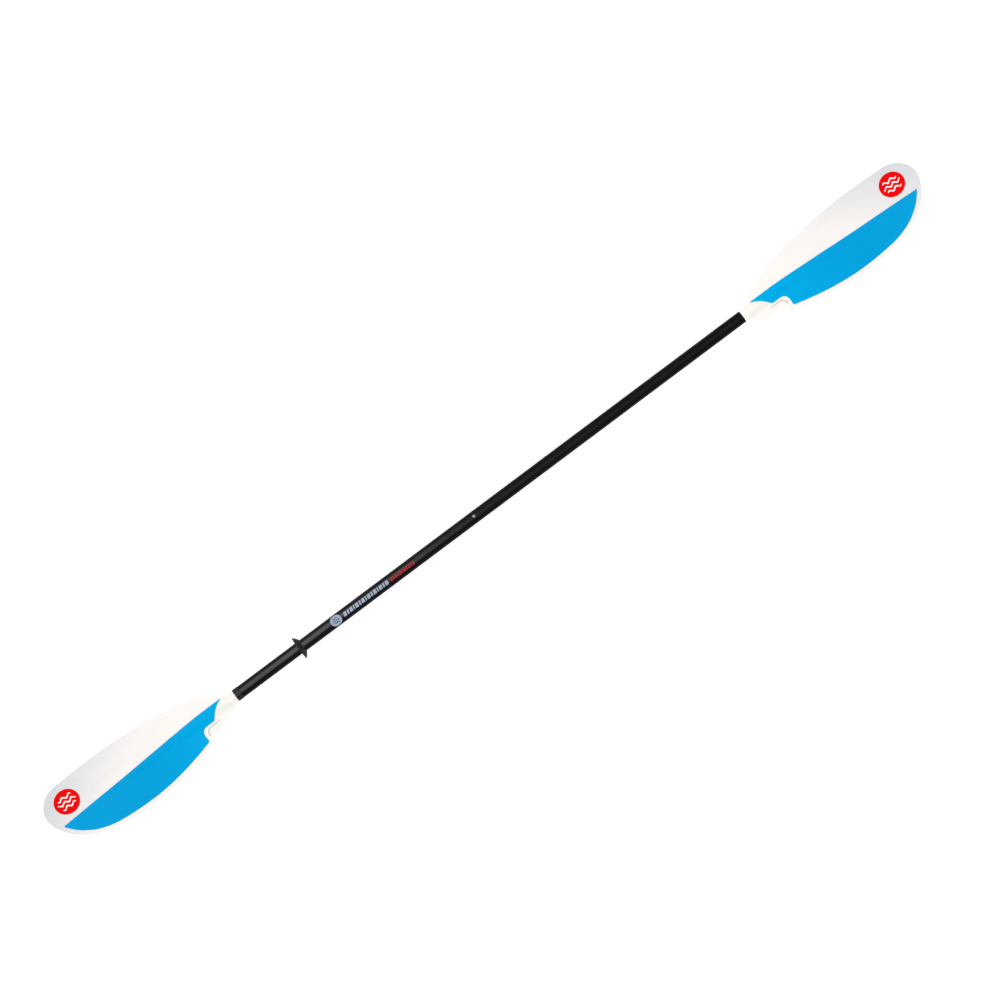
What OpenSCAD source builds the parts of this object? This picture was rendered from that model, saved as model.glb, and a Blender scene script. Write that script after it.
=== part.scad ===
// Two-piece kayak paddle with a snap-button ferrule and hook-notched spoon blades.
// X runs along the shaft from the left blade to the right blade, Y across the blades, and
// +Z is the side of the blades' faces. The origin is on the shaft's axis at mid-length.
// The right half slides out of the left one along +X, and turns about X to feather the blades.

/* [Overall] */
// Length of the paddle from tip to tip
overall_len = 2400; // [2200:10:2500]
// Length of a blade beyond its tube's end
blade_len = 499; // [495:1:505]

/* [Shaft tubes] */
// Outside diameter of the two tubes
tube_od = 28.6; // [28:0.1:30]
// Wall thickness of the tubes
tube_wall = 1.3; // [1.2:0.1:1.6]
// Distance of the ferrule seam from mid-length
seam_x = 13.5; // [0:0.5:60]
// Length of the trim collar on the left tube's end
collar_len = 13; // [8:1:20]
// Wall thickness of the trim collar
collar_wall = 0.6; // [0.4:0.1:1]
// Distance of the rubber bung behind the ferrule from mid-length
bung_x = 118; // [116:1:160]
// Length of the rubber bung
bung_len = 22; // [16:1:30]

/* [Ferrule] */
// How far the ferrule insert reaches into the left tube
insert_reach = 120; // [100:5:120]
// How far the ferrule insert is held in the right tube
insert_hold = 62; // [55:1:90]
// Wall thickness of the ferrule insert
insert_wall = 3; // [2.6:0.1:3.2]
// Radial clearance of the insert in the tubes
insert_gap = 0.05; // [0.02:0.01:0.1]
// Thickness of the washer between the tubes' ends
washer_len = 1.6; // [1:0.1:3]

/* [Snap button] */
// Diameter of the button
button_d = 8; // [7:0.1:8]
// Distance of the button from the seam
button_back = 54; // [48:1:60]
// How far the button stands above the tube
button_stand = 3; // [2:0.1:3.4]
// Turn of the button about the shaft, from +Z towards +Y
button_turn = 9; // [0:1:20]
// Angle between the two feather holes
feather_step = 60; // [45:5:75]

/* [Drip ring] */
// Outside diameter of the drip ring's rim
ring_od = 55.5; // [45:0.5:60]
// Distance of the drip ring's hub face from mid-length
ring_x = 515; // [450:1:540]
// Length of the drip ring from hub face to rim
ring_len = 11; // [9:0.5:14]

/* [Blade] */
// Diameter of the blade's neck at the tube
neck_d = 27; // [26.4:0.2:28.4]
// Half thickness of the blade plate at its root
root_half = 2.7; // [2.4:0.1:3.4]
// Half thickness of the blade plate near its tip
tip_half = 1.5; // [1.4:0.1:2.2]
// Fall of the plate's edges behind its centre line
dihedral = 3.5; // [0:0.5:6]
// Forward curl of the tip along Z
tip_curl = 12; // [0:1:20]
// Half thickness of the thin web in the hook notch
web_half = 1.1; // [1:0.1:1.8]
// Length of the round tang inside the tube
tang_len = 55; // [40:5:70]

/* [Pins] */
// Diameter of the pins that fix the blades and the ferrule
pin_d = 4.8; // [4:0.2:5]
// Length of a pin
pin_len = 7; // [5:0.5:8]
// Distance of a blade's pin from its tube's end
pin_in = 20; // [18:1:30]

/* [Hidden] */

tube_r = tube_od / 2;
bore_r = tube_r - tube_wall;
tube_end = overall_len / 2 - blade_len;
face_gap = 0.05;
fit_gap = 0.02;
left_mouth = seam_x - washer_len / 2 - face_gap;
right_mouth = seam_x + washer_len / 2 + face_gap;
insert_r = bore_r - insert_gap;
insert_bore_r = insert_r - insert_wall;
insert_left = seam_x - insert_reach;
insert_right = seam_x + insert_hold;
button_x = seam_x - button_back;
button_r = button_d / 2;
hole_gap = 0.12;
button_top = tube_r + button_stand;
ring_gap = 0.12;
washer_gap = 0.08;
ferrule_pin_x = 48;
pin_r = pin_d / 2;
pin_top = tube_r - 0.3;

// Printed marks on the left tube, as distances from mid-length
decal_t = 0.07;
decal_gap = 0.01;
disc_x = -422.6;
disc_long_r = 13.7;
disc_wide_r = 11.9;
bars = [[-403, -277.5], [-273, -203]];
bar_half = 5.3;

neck_r = neck_d / 2;
tang_bevel = 1;

// Stations of the blade's rings: even along the neck, then closer and closer towards the tip
neck_steps = 15;
neck_step = 8;
body_steps = 32;
neck_len = neck_steps * neck_step;
tip_packing = 1.7;
station_gap = 15;
stations = concat(
    [for (i = [0 : neck_steps - 1]) i * neck_step],
    [for (i = [0 : body_steps - 1])
        blade_len - (blade_len - neck_len) * pow(1 - i / body_steps, tip_packing)]);
// Steps across one face of the blade
across = 28;

// Height at which the tip's two edges meet, and where each edge starts to turn in
tip_y = 28;
upper_turn = 440;
lower_turn = 300;
upper_tip_h = 51.5;
lower_tip_h = 110.5;

// Points along the blade's edges, as distance from the tube's end and height
upper_points = [[0, neck_r], [20, 20.5], [45, 32], [80, 47.5], [115, 58.5], [160, 68.5],
    [210, 75.2], [270, 80], [330, 82.5], [390, 81.4], [440, 79.5]];
lower_points = [[0, neck_r], [20, 20.5], [45, 32], [72, 43.5], [99, 52.5], [130, 61.5],
    [170, 71], [215, 77.8], [260, 81.4], [300, 82.5]];

// Hook notch: its thin web's edge, the tooth, and the step round the web
web_points = [[10, 17.5], [30, 25], [45, 30.5], [62, 34.2], [80, 37.4], [99, 40]];
web_x = 10;
tooth_x = 99;
step_y = -22;
step_start = 46;
step_fade = 66;
step_r = 14;
fade_h = 6;

// Long enough to cut or cross the whole blade in any direction
deep = 100;

// Raised rib that carries the shaft on into the blade, lower on the face than on the back
rib_widths = [[0, neck_r], [40, 11.6], [100, 9], [180, 8.6], [240, 7.8], [300, 6], [350, 5]];
face_rib = [[0, neck_r], [40, 10.4], [70, 6.8], [100, 5.2], [180, 4.1], [240, 3.2], [300, 2.1],
    [350, 1]];
back_rib = [[0, neck_r], [40, 11], [100, 7.4], [180, 6], [240, 4.6], [300, 2.9], [350, 1.2]];
rib_end = 350;

// Colour panel: its long top line, its rounded root, and its rim along the lower edge
panel_top = [[31, 16], [102, 15.6], [200, 10.6], [300, 4.6], [400, -0.2], [478, -4.4]];
panel_root = [[31, 14.6], [41.5, 10.2], [50.5, 4.5], [59.5, -3.6], [66, -10.5], [71, -16.8]];
panel_rim = [[107, -47], [142, -56], [195, -66.4], [248, -72.7], [290, -74], [328, -72.7],
    [381, -67], [421, -54], [447, -38], [460, -27]];
panel_nose = [31, 14.8];
panel_heel = [474, -11];
panel_point = [478, -4.5];
panel_corner_x = 107.5;
panel_shelf_y = -16.8;
panel_corner_r = 15;
film_gap = 0.1;
film_t = 0.3;

// Round badge near the tip
badge_x = 440;
badge_y = 36;
badge_rx = 30;
badge_ry = 27.5;

function mix(a, b, t) = a + (b - a) * t;
function ease(a, b, x) = let (t = min(max((x - a) / (b - a), 0), 1)) t * t * (3 - 2 * t);

// Slope at point i of the smooth curve through p
function slope(p, i) =
    let (a = p[max(i - 1, 0)], b = p[min(i + 1, len(p) - 1)]) (b[1] - a[1]) / (b[0] - a[0]);

// Height at x of the smooth curve through p
function curve_at(p, x, i = 0) =
    i < len(p) - 2 && x > p[i + 1][0] ? curve_at(p, x, i + 1)
    : let (a = p[i], b = p[i + 1], w = b[0] - a[0], t = (x - a[0]) / w, back = 1 - t)
        a[1] * (1 + 2 * t) * back * back + b[1] * t * t * (3 - 2 * t)
        + w * t * back * (slope(p, i) * back - slope(p, i + 1) * t);

function tip_arc(x, start, p, q) =
    pow(max(1 - pow(min((x - start) / (blade_len - start), 1), p), 0), 1 / q);
function upper_edge(x) =
    x < upper_turn ? curve_at(upper_points, x)
    : tip_y + upper_tip_h * tip_arc(x, upper_turn, 2, 2);
function lower_edge(x) =
    x < lower_turn ? -curve_at(lower_points, x)
    : tip_y - lower_tip_h * tip_arc(x, lower_turn, 2.5, 1.8);

// Middle of the plate's thickness: it dips behind the shaft's axis, then curls forward
function mid_z(x) = let (t = x / blade_len, k = tip_curl / 12) k * t * t * (68 * t - 56);
function fall(x, y) =
    dihedral * ease(40, 140, x) * (1 - ease(330, 480, x)) * abs(y) / 80;
function plate_half(x) = mix(root_half, tip_half, ease(100, 420, x));
function edge_round(d, r) = d >= r ? 1 : sqrt(max(1 - pow(1 - max(d, 0) / r, 2), 0));
function rib_centre(x) = -4 * ease(230, 350, x);
function rib_half(x) = curve_at(rib_widths, min(x, rib_end));
// The rib's height above the plate's middle: half round at the tube, then bell-shaped
rib_bell = 1.3;
rib_flank = 0.8;
function rib_z(x, y, heights) =
    let (u = abs(y - rib_centre(x)) / rib_half(x), round_z = sqrt(max(1 - u * u, 0)),
        bell_z = exp(-rib_bell * u * u), flank = rib_flank * max(u - 1, 0))
        x < rib_end ? curve_at(heights, x) * (mix(round_z, bell_z, ease(5, 60, x)) - flank)
        : -deep;

// Half thickness of the plate at a point, rounded off at its edges
function plate_z(x, y) =
    let (d = min(upper_edge(x) - y, y - lower_edge(x)), h = plate_half(x))
        h * edge_round(d, h);
function face_z(x, y) = mid_z(x) + max(plate_z(x, y) - fall(x, y), rib_z(x, y, face_rib));
function back_z(x, y) = mid_z(x) - max(plate_z(x, y) + fall(x, y), rib_z(x, y, back_rib));

// Height across the blade at s from -1, its lower edge, to 1, its upper edge
rib_share = 0.32;
function across_y(x, s) =
    let (lo = lower_edge(x), up = upper_edge(x), c = rib_centre(x), w = max(rib_half(x), 6),
        q = (abs(s) - rib_share) / (1 - rib_share),
        round_y = mix(lo, up, (1 + sin(90 * s)) / 2),
        rib_y = abs(s) <= rib_share ? c + w * s / rib_share
            : s > 0 ? mix(c + w, up, sin(90 * q)) : mix(c - w, lo, sin(90 * q)))
        mix(round_y, rib_y, ease(0, 40, x) * (1 - ease(350, 440, x)));

// Puts a cylinder's Z axis along +X
module along_x() {
    rotate([0, 90, 0])
        children();
}

module pipe(x1, x2, r_out, r_in) {
    translate([x1, 0, 0])
        along_x()
            difference() {
                cylinder(h = x2 - x1, r = r_out, $fn = 96);
                translate([0, 0, -1])
                    cylinder(h = x2 - x1 + 2, r = r_in, $fn = 96);
            }
}

// A round hole from the axis outwards, turned from +Z towards +Y
module radial_hole(x, r, turn) {
    translate([x, 0, 0])
        rotate([-turn, 0, 0])
            cylinder(h = tube_r + 5, r = r, $fn = 48);
}

// The hole for a pin, in the back of the shaft
module pin_hole(x) {
    mirror([0, 0, 1])
        radial_hole(x, pin_r + fit_gap, 0);
}

// One ring of the blade: its face from the lower edge to the upper one, then its back
function blade_ring(x) = concat(
    [for (j = [0 : across]) let (y = across_y(x, 2 * j / across - 1)) [x, y, face_z(x, y)]],
    [for (j = [across - 1 : -1 : 1])
        let (y = across_y(x, 2 * j / across - 1)) [x, y, back_z(x, y)]]);
function tang_ring(x, r) = [for (j = [0 : 2 * across - 1])
    let (a = 90 * (2 * j / across - 1)) [x, r * sin(a), r * cos(a)]];

// The whole blade with its tang, before the hook notch is cut
module blade_body() {
    rings = concat(
        [tang_ring(-tang_len, insert_r - tang_bevel),
            tang_ring(2 * tang_bevel - tang_len, insert_r), tang_ring(0, insert_r)],
        [for (x = stations) blade_ring(x)]);
    n = 2 * across;
    last = len(rings) - 1;
    points = concat([for (ring = rings) each ring],
        [[blade_len, tip_y, mid_z(blade_len)]]);
    tip = len(points) - 1;
    sides = [for (i = [0 : last - 1], j = [0 : n - 1])
        let (a = i * n + j, b = i * n + (j + 1) % n)
            each [[a, a + n, b], [b, a + n, b + n]]];
    polyhedron(points, concat(sides, [[for (j = [0 : n - 1]) j]],
        [for (j = [0 : n - 1]) [last * n + j, tip, last * n + (j + 1) % n]]));
}

// Everything beyond the web's edge, up to the tooth
module web_trim() {
    translate([0, 0, -deep])
        linear_extrude(2 * deep)
            polygon(concat([for (x = [web_x : 5 : tooth_x - 4]) [x, -curve_at(web_points, x)]],
                [[tooth_x, -curve_at(web_points, tooth_x)], [tooth_x, -deep], [web_x, -deep]]));
}

// The space over the web, on the face with side 1 and on the back with side -1
module web_pocket(side) {
    floor_z = mid_z(80) + side * web_half;
    intersection() {
        translate([0, 0, -deep])
            linear_extrude(2 * deep)
                difference() {
                    translate([step_start, step_y - deep])
                        square([tooth_x - step_start, deep]);
                    translate([tooth_x - step_r, step_y - step_r])
                        difference() {
                            square(step_r + 1);
                            circle(step_r, $fn = 96);
                        }
                }
        rotate([90, 0, 0])
            linear_extrude(deep)
                polygon([[step_start, floor_z + side * fade_h], [step_fade, floor_z],
                    [tooth_x + 1, floor_z], [tooth_x + 1, side * deep],
                    [step_start, side * deep]]);
    }
}

module blade() {
    color([0.97, 0.96, 0.94])
        difference() {
            blade_body();
            web_trim();
            web_pocket(1);
            web_pocket(-1);
            pin_hole(-pin_in);
        }
}

// A sheet over the blade's face from x1 to x2, between two heights above it
module face_sheet(x1, x2, low, high) {
    n = across + 1;
    run = [for (x = stations) if (x >= x1 && x <= x2) x];
    face = [for (x = run, j = [0 : across])
        let (y = across_y(x, 2 * j / across - 1)) [x, y, face_z(x, y)]];
    count = len(face);
    points = concat([for (p = face) p + [0, 0, low]], [for (p = face) p + [0, 0, high]]);
    rows = len(run) - 1;
    cells = [for (i = [0 : rows - 1], j = [0 : across - 1]) i * n + j];
    top = [for (a = cells)
        each [[a, a + n, a + 1] + count * [1, 1, 1], [a + 1, a + n, a + n + 1] + count * [1, 1, 1]]];
    under = [for (f = top) [f[2], f[1], f[0]] - count * [1, 1, 1]];
    rim = concat([for (j = [0 : across - 1]) [j, j + 1]],
        [for (i = [0 : rows - 1]) [i * n + across, (i + 1) * n + across]],
        [for (j = [across : -1 : 1]) [rows * n + j, rows * n + j - 1]],
        [for (i = [rows : -1 : 1]) [i * n, (i - 1) * n]]);
    sides = [for (e = rim)
        each [[e[0], e[0] + count, e[1]], [e[1], e[0] + count, e[1] + count]]];
    polyhedron(points, concat(under, top, sides));
}

// A thin film bonded to the blade's face, inside the outline given as its child
module face_film(x1, x2) {
    intersection() {
        face_sheet(x1, x2, film_gap, film_gap + film_t);
        translate([0, 0, -deep])
            linear_extrude(2 * deep)
                children();
    }
}

module blade_panel() {
    corner = [for (a = [90 : -15 : 0])
        [panel_corner_x - panel_corner_r + panel_corner_r * cos(a),
            panel_shelf_y - panel_corner_r + panel_corner_r * sin(a)]];
    rim = [for (x = [panel_corner_x : 15 : 460]) [x, curve_at(panel_rim, x)]];
    top = [for (x = [475 : -40 : 35]) [x, curve_at(panel_top, x)]];
    root = [for (x = [38 : 8 : 71]) [x, curve_at(panel_root, x)]];
    color([0, 0.62, 0.85])
        face_film(panel_nose[0] - station_gap, panel_point[0] + station_gap)
            polygon(concat([panel_nose], root, corner, rim, [panel_heel, panel_point], top));
}

module blade_badge() {
    color([0.93, 0.06, 0.05])
        face_film(badge_x - badge_rx - station_gap, badge_x + badge_rx + station_gap)
            polygon([for (a = [0 : 10 : 350])
                [badge_x + badge_rx * cos(a), badge_y + badge_ry * sin(a)]]);
}

module at_right() {
    translate([tube_end, 0, 0])
        children();
}

module at_left() {
    mirror([1, 0, 0])
        at_right()
            children();
}

module left_blade() { at_left() blade(); }
module left_blade_panel() { at_left() blade_panel(); }
module left_blade_badge() { at_left() blade_badge(); }
module right_blade() { at_right() blade(); }
module right_blade_panel() { at_right() blade_panel(); }
module right_blade_badge() { at_right() blade_badge(); }

module left_shaft_tube() {
    color([0.1, 0.1, 0.11])
        difference() {
            pipe(face_gap - tube_end, left_mouth, tube_r, bore_r);
            for (turn = [button_turn, button_turn + feather_step])
                radial_hole(button_x, button_r + hole_gap, turn);
            pin_hole(pin_in - tube_end);
        }
}

module right_shaft_tube() {
    color([0.1, 0.1, 0.11])
        difference() {
            pipe(right_mouth, tube_end - face_gap, tube_r, bore_r);
            pin_hole(tube_end - pin_in);
            pin_hole(ferrule_pin_x);
        }
}

module left_end_collar() {
    color([0.05, 0.05, 0.05])
        pipe(-tube_end, collar_len - tube_end, tube_r + collar_wall, tube_r + fit_gap);
}

module left_tube_bung() {
    wall = 2.5;
    color([0.15, 0.15, 0.15])
        translate([-bung_x - bung_len, 0, 0])
            along_x()
                difference() {
                    cylinder(h = bung_len, r = bore_r - fit_gap, $fn = 96);
                    translate([0, 0, -1])
                        cylinder(h = bung_len + 1 - wall, r = bore_r - wall, $fn = 96);
                }
}

// A pin pressed in through the back of a tube, just below the tube's surface
module pin(x) {
    bevel = 0.4;
    color([0.35, 0.35, 0.37])
        translate([x, 0, -pin_top])
            rotate_extrude($fn = 48)
                polygon([[0, 0], [pin_r - bevel, 0], [pin_r, bevel], [pin_r, pin_len - bevel],
                    [pin_r - bevel, pin_len], [0, pin_len]]);
}

module left_blade_pin() { pin(pin_in - tube_end); }
module right_blade_pin() { pin(tube_end - pin_in); }
module ferrule_pin() { pin(ferrule_pin_x); }

// Printed film on the left tube: a disc and two bars
module shaft_decals() {
    color([0.72, 0.78, 0.86])
        intersection() {
            pipe(disc_x - 2 * disc_long_r, bars[1][1] + 1, tube_r + decal_gap + decal_t,
                tube_r + decal_gap);
            union() {
                translate([disc_x, 0, 0])
                    scale([disc_long_r / disc_wide_r, 1, 1])
                        cylinder(h = tube_od, r = disc_wide_r, $fn = 64);
                for (bar = bars)
                    translate([bar[0], -bar_half, 0])
                        cube([bar[1] - bar[0], 2 * bar_half, tube_od]);
            }
        }
}

// A soft flared cup that opens towards the left blade
module drip_ring() {
    rim_r = ring_od / 2;
    hub_r = tube_r + ring_gap;
    skirt_r = tube_r + 2.6;
    color([0.06, 0.06, 0.06])
        translate([-ring_x, 0, 0])
            rotate([0, -90, 0])
                rotate_extrude($fn = 96)
                    polygon([[hub_r, 0], [skirt_r - 0.7, 0], [skirt_r, 2.5],
                        [rim_r - 1.2, ring_len - 2.4], [rim_r, ring_len - 1.6],
                        [rim_r, ring_len - 0.3], [rim_r - 0.6, ring_len],
                        [rim_r - 2.4, ring_len - 0.9], [skirt_r, 5], [hub_r, 5.6]]);
}

module ferrule_washer() {
    color([0.03, 0.03, 0.03])
        pipe(seam_x - washer_len / 2, seam_x + washer_len / 2, tube_r - 2 * washer_gap,
            insert_r + washer_gap);
}

module ferrule_insert() {
    color([0.2, 0.2, 0.21])
        difference() {
            pipe(insert_left, insert_right, insert_r, insert_bore_r);
            radial_hole(button_x, button_r + hole_gap / 2, button_turn);
            pin_hole(ferrule_pin_x);
        }
}

module ferrule_end_cap() {
    lip = 1.6;
    spigot = 8;
    color([0.12, 0.12, 0.12])
        translate([insert_left - lip, 0, 0])
            along_x()
                difference() {
                    union() {
                        cylinder(h = lip, r = insert_r - 0.4, $fn = 96);
                        cylinder(h = lip + spigot, r = insert_bore_r - fit_gap, $fn = 96);
                    }
                    translate([0, 0, 2 * lip])
                        cylinder(h = spigot, r = insert_bore_r - lip, $fn = 96);
                }
}

// The line of the bent leaf: a flat seat under the button, a tight bend, and a leg that rests
// on the far wall of the insert's bore
leaf_t = 0.6;
leaf_w = 6;
bend_r = 1.6;
leaf_line = concat([[-8, 6.9], [7, 6.9]],
    [for (a = [75 : -30 : -75]) [42 + bend_r * cos(a), bend_r * sin(a)]],
    [[-4, -9.1]]);

// Unit vector square to the line at point i, drawn out at corners to keep the leaf's thickness
function unit(v) = v / norm(v);
function leaf_side(i) =
    let (last = len(leaf_line) - 1, a = unit(leaf_line[max(i, 1)] - leaf_line[max(i, 1) - 1]),
        j = min(i, last - 1), b = unit(leaf_line[j + 1] - leaf_line[j]), m = unit(a + b))
        [-m[1], m[0]] / (m * a);

// The leaf that pushes the button out
module snap_spring() {
    ids = [for (i = [0 : len(leaf_line) - 1]) i];
    back_ids = [for (i = [len(leaf_line) - 1 : -1 : 0]) i];
    color([0.7, 0.7, 0.72])
        translate([button_x, 0, 0])
            rotate([-button_turn, 0, 0])
                rotate([90, 0, 0])
                    translate([0, 0, -leaf_w / 2])
                        linear_extrude(leaf_w)
                            polygon(concat(
                                [for (i = ids) leaf_line[i] + leaf_side(i) * leaf_t / 2],
                                [for (i = back_ids) leaf_line[i] - leaf_side(i) * leaf_t / 2]));
}

// A domed pin with a flange that keeps it inside the insert
module snap_button() {
    flange_z = 7.3;
    flange_t = 1;
    flange_r = button_r + 1.2;
    dome_h = 1.3;
    dome_r = (button_r * button_r + dome_h * dome_h) / (2 * dome_h);
    color([0.8, 0.8, 0.82])
        translate([button_x, 0, 0])
            rotate([-button_turn, 0, 0]) {
                translate([0, 0, flange_z])
                    cylinder(h = flange_t, r = flange_r, $fn = 48);
                intersection() {
                    translate([0, 0, flange_z])
                        cylinder(h = button_top - flange_z, r = button_r, $fn = 48);
                    union() {
                        translate([0, 0, button_top - dome_r])
                            sphere(dome_r, $fn = 64);
                        cylinder(h = button_top - dome_h, r = button_r + 1, $fn = 48);
                    }
                }
            }
}

left_blade();
left_blade_panel();
left_blade_badge();
left_shaft_tube();
left_end_collar();
left_blade_pin();
left_tube_bung();
shaft_decals();
drip_ring();
ferrule_washer();
right_blade();
right_blade_panel();
right_blade_badge();
right_shaft_tube();
right_blade_pin();
ferrule_insert();
ferrule_end_cap();
ferrule_pin();
snap_spring();
snap_button();
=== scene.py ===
"""Looks of a two-piece kayak paddle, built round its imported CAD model.

X runs along the shaft to the right blade, Y across the blades to their plain side, and Z out of
their faces. Blades are worked out in millimetres, with x counted from their own tube's end.
"""
import math

import bmesh
import bpy
import numpy as np
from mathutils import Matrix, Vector
from mathutils.geometry import delaunay_2d_cdt


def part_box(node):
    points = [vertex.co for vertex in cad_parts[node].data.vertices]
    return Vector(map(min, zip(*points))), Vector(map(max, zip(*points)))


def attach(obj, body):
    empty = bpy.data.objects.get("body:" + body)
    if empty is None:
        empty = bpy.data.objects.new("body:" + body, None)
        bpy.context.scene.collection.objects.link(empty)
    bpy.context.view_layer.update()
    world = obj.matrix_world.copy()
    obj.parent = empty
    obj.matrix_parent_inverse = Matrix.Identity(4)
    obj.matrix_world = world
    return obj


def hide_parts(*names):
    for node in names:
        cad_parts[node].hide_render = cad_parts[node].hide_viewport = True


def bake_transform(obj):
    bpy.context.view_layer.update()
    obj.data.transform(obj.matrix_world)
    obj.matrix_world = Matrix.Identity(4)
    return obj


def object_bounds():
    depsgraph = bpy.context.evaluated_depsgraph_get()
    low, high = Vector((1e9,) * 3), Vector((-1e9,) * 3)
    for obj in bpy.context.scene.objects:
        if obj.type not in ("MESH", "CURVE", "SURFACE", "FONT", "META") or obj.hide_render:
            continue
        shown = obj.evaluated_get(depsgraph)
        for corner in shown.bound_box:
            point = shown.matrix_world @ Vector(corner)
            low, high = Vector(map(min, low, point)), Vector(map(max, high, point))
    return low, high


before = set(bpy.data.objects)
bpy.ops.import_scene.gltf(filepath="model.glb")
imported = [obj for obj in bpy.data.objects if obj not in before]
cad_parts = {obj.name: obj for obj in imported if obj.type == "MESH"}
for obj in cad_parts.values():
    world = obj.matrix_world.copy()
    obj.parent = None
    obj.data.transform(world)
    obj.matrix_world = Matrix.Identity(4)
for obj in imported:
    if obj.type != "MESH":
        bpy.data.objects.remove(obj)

cad_low, cad_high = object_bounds()

MM = 0.001
TUBE_END = -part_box("left_end_collar")[0].x / MM
BLADE_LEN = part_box("right_blade")[1].x / MM - TUBE_END
TUBE_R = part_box("right_shaft_tube")[1].y / MM
NECK_R = 13.5
NECK_POINTS = 25
TANG_R = 12.9
TANG_LEN = 55
KEYWAY_START = 10
KEYWAY_HALF = 3.2
KEYWAY_FLOOR = -6.5

# ---------------------------------------------------------------- blade outline, as in the CAD
# UPPER and LOWER give the edge's distance from the shaft's axis, as far as the tip's arcs, and WEB
# that of the thin web in the notch, which the tooth overhangs.
TIP_Y = 28
UPPER_TURN = 440
LOWER_TURN = 300
UPPER_TIP_H = 51.5
LOWER_TIP_H = 110.5
UPPER_TIP_POWERS = (2, 2)
LOWER_TIP_POWERS = (2.5, 1.8)
UPPER = [(0, NECK_R), (20, 20.5), (45, 32), (80, 47.5), (115, 58.5), (160, 68.5), (210, 75.2),
         (270, 80), (330, 82.5), (390, 81.4), (440, 79.5)]
LOWER = [(0, NECK_R), (20, 20.5), (45, 32), (72, 43.5), (99, 52.5), (130, 61.5), (170, 71),
         (215, 77.8), (260, 81.4), (300, 82.5)]
WEB = [(10, 17.5), (30, 25), (45, 30.5), (62, 34.2), (80, 37.4), (99, 40)]
TOOTH_X = 99
TOOTH_LEAN = 1.8
TOOTH_R = 1.1
TOOTH_SIDE = (0.15, 1.2)
NOTCH_R = 3
NOTCH_DROP = 2.6

# ---------------------------------------------------------------- blade section, as in the CAD
# A rib of these half widths and heights stands on both sides of a plate, which thins towards the
# tip. The plate's two sides fall away from the middle by DIHEDRAL, its centre line sags and curls
# up along the blade, and a step goes down to the web in the notch. A RUN, IN or OUT is where along
# the blade something changes.
RIB_WIDTHS = [(0, NECK_R), (40, 11.6), (100, 9), (180, 8.6), (240, 7.8), (300, 6), (350, 5)]
FACE_RIB = [(0, NECK_R), (40, 10.4), (70, 6.8), (100, 5.2), (180, 4.1), (240, 3.2), (300, 2.1),
            (350, 1)]
BACK_RIB = [(0, NECK_R), (40, 11), (100, 7.4), (180, 6), (240, 4.6), (300, 2.9), (350, 1.2)]
RIB_END = 350
RIB_SINK = 4
RIB_BELL = 1.3
RIB_FLANK = 0.8
BELL_START = 40
RIB_SHIFT = 4
RIB_SHIFT_RUN = (230, 350)
CURL = 68
SAG = 56
ROOT_HALF = 2.7
TIP_HALF = 1.5
THIN_RUN = (100, 420)
WEB_HALF = 1.1
DIHEDRAL = 3.5
DIHEDRAL_Y = 80
DIHEDRAL_IN = (40, 140)
DIHEDRAL_OUT = (330, 480)
STEP_Y = -22
STEP_R = 14
STEP_START = 46
STEP_FADE = 74
FADE_H = 3.2
GROOVE_DEPTH = 1.7
GROOVE_WIDTH = 1.3
RIM_WIDTH = 12

# ---------------------------------------------------------------- colour panel and badge
PANEL_TOP = [(31, 16), (102, 15.6), (200, 10.6), (300, 4.6), (400, -0.2), (478, -4.4)]
PANEL_ROOT = [(31, 14.6), (41.5, 10.2), (50.5, 4.5), (59.5, -3.6), (66, -10.5), (71, -16.8)]
PANEL_RIM = [(107, -47), (142, -56), (195, -66.4), (248, -72.7), (290, -74), (328, -72.7),
             (381, -67), (421, -54), (447, -38), (460, -27)]
PANEL_CORNER = (107.5, -16.8)
PANEL_CORNER_R = 15
PANEL_FOOT_R = 3
PANEL_HEEL = (474, -11)
PANEL_POINT = (478, -4.5)
BADGE = (440, 36)
BADGE_RX = 30
BADGE_RY = 27.5
BADGE_WAVES = ((-10.5, 18), (0, 23), (10.5, 18))
BADGE_WAVE_SHAPE = (2.6, 18, 3.9, 41)

# ---------------------------------------------------------------- mesh density
# Rings follow the edge at shares of the plate's half thickness, rows follow the neck's sides (at
# shares of its half width), the rib's creases and the step, and two grids fill the rest.
EDGE_STEP = 2.6
PANEL_STEP = 2.5
RING_SHARES = (0.05, 0.2, 0.5, 1.0)
NECK_ROWS = (0.84, 0.9, 0.95, 0.985, 1.01, 1.06)
CREASE_ROWS = (-0.9, -0.3, 0.3, 0.9)
STEP_ROWS = (-1.5, -0.9, -0.4, 0, 0.4, 0.9, 1.5)
ROOT_END = 104
ROOT_GRID = 1.7
ROOT_ROW = 1.5
FACE_GRID = 3.4
BACK_GRID = 4.2


def curve(points, x):
    """Height at x of the smooth curve through the points."""
    px, py = np.array(points, float).T
    n = len(px)
    before = np.maximum(np.arange(n) - 1, 0)
    after = np.minimum(np.arange(n) + 1, n - 1)
    slope = (py[after] - py[before]) / (px[after] - px[before])
    x = np.clip(np.asarray(x, float), px[0], px[-1])
    i = np.clip(np.searchsorted(px, x) - 1, 0, n - 2)
    w = px[i + 1] - px[i]
    t = (x - px[i]) / w
    back = 1 - t
    return (py[i] * (1 + 2 * t) * back**2 + py[i + 1] * t**2 * (3 - 2 * t)
            + w * t * back * (slope[i] * back - slope[i + 1] * t))


def ease(a, b, x):
    """A smooth step from 0 at a to 1 at b."""
    t = np.clip((np.asarray(x, float) - a) / (b - a), 0, 1)
    return t * t * (3 - 2 * t)


def mix(a, b, t):
    return a + (b - a) * t


def smooth_max(a, b, k):
    """The larger of a and b, with a fillet about k high where they meet."""
    k = np.maximum(k, 1e-6)
    h = np.maximum(k - np.abs(a - b), 0) / k
    return np.maximum(a, b) + h * h * k / 4


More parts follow.
